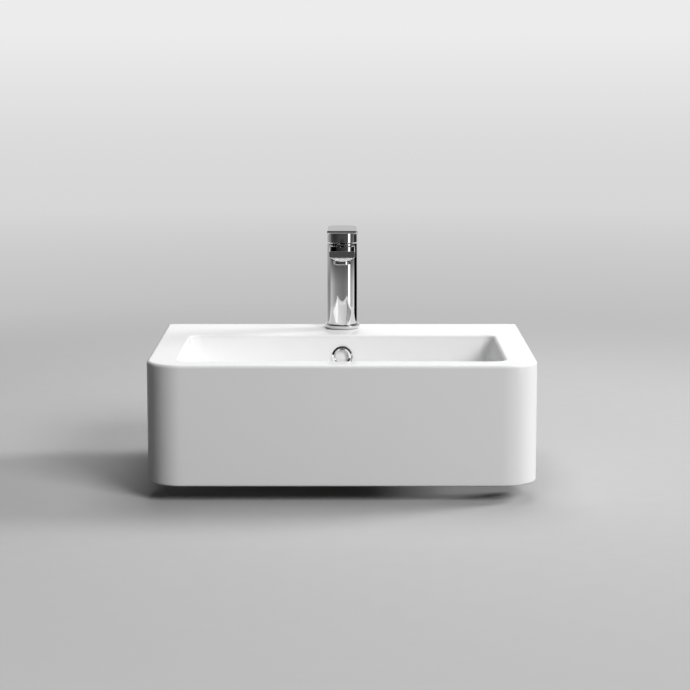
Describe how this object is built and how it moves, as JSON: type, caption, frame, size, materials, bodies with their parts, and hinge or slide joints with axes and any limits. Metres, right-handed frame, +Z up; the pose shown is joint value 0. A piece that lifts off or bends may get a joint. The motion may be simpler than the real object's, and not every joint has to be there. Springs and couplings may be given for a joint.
{
  "type": "semi-recessed basin",
  "caption": "Semi-recessed rectangular china basin with a deep front skirt, an overflow, a push waste and a cylindrical mono mixer tap with a flat lever.",
  "frame": {"origin": "middle of the basin's rear edge, where the worktop's surface (z = 0) meets the wall face (y = 0)", "axes": "+X to the right as a user at the front sees it, +Y from the front into the wall, +Z up"},
  "size_m": [0.5, 0.375, 0.3215],
  "materials": {
    "china": "glossy white glaze",
    "chrome_tap": "polished",
    "chrome_trim": "polished",
    "steel_fixings": "plain",
    "brass_fittings": "turned",
    "black_rubber": "matt",
    "white_plastic": "moulded",
    "grey_plastic": "moulded",
    "valve_ceramic": "lapped"
  },
  "bodies": {
    "fixed": {"basin": "china", "overflow_ring": "chrome_trim", "tap_body": "chrome_tap", "tap_base_ring": "chrome_tap", "tap_base_seal": "black_rubber", "tap_stud": "steel_fixings", "clamp_seal": "black_rubber", "clamp_plate": "steel_fixings", "clamp_nut": "brass_fittings", "cartridge_can": "white_plastic", "cartridge_seal": "black_rubber", "cartridge_fixed_disc": "valve_ceramic", "cartridge_nut": "brass_fittings", "tap_cover": "chrome_tap", "aerator_housing": "chrome_trim", "aerator_insert": "grey_plastic", "aerator_seal": "black_rubber", "waste_body": "chrome_trim", "waste_upper_seal": "black_rubber", "waste_lower_seal": "black_rubber", "waste_washer": "white_plastic", "waste_nut": "brass_fittings", "waste_sleeve": "white_plastic"},
    "tap_swivel": {"cartridge_swivel": "white_plastic", "cartridge_pin": "steel_fixings", "cartridge_moving_disc": "valve_ceramic"},
    "tap_lever": {"cartridge_lever": "brass_fittings", "tap_handle": "chrome_tap", "handle_screw": "steel_fixings", "handle_plug": "grey_plastic"},
    "waste_plug": {"waste_cap": "chrome_trim", "waste_cap_seal": "black_rubber", "waste_plunger": "white_plastic"}
  },
  "joints": [
    {"name": "handle_turn", "type": "hinge", "parent": "fixed", "child": "tap_swivel", "pos_m": [0, -0.04, 0.192], "axis": [0, 0, 1], "range_deg": [-45, 45]},
    {"name": "handle_lift", "type": "hinge", "parent": "tap_swivel", "child": "tap_lever", "pos_m": [0, -0.04, 0.192], "axis": [-1, 0, 0], "range_deg": [0, 20]},
    {"name": "waste_cap_slide", "type": "slide", "parent": "fixed", "child": "waste_plug", "axis": [0, 0, 1], "range_m": [0, 0.007]}
  ]
}
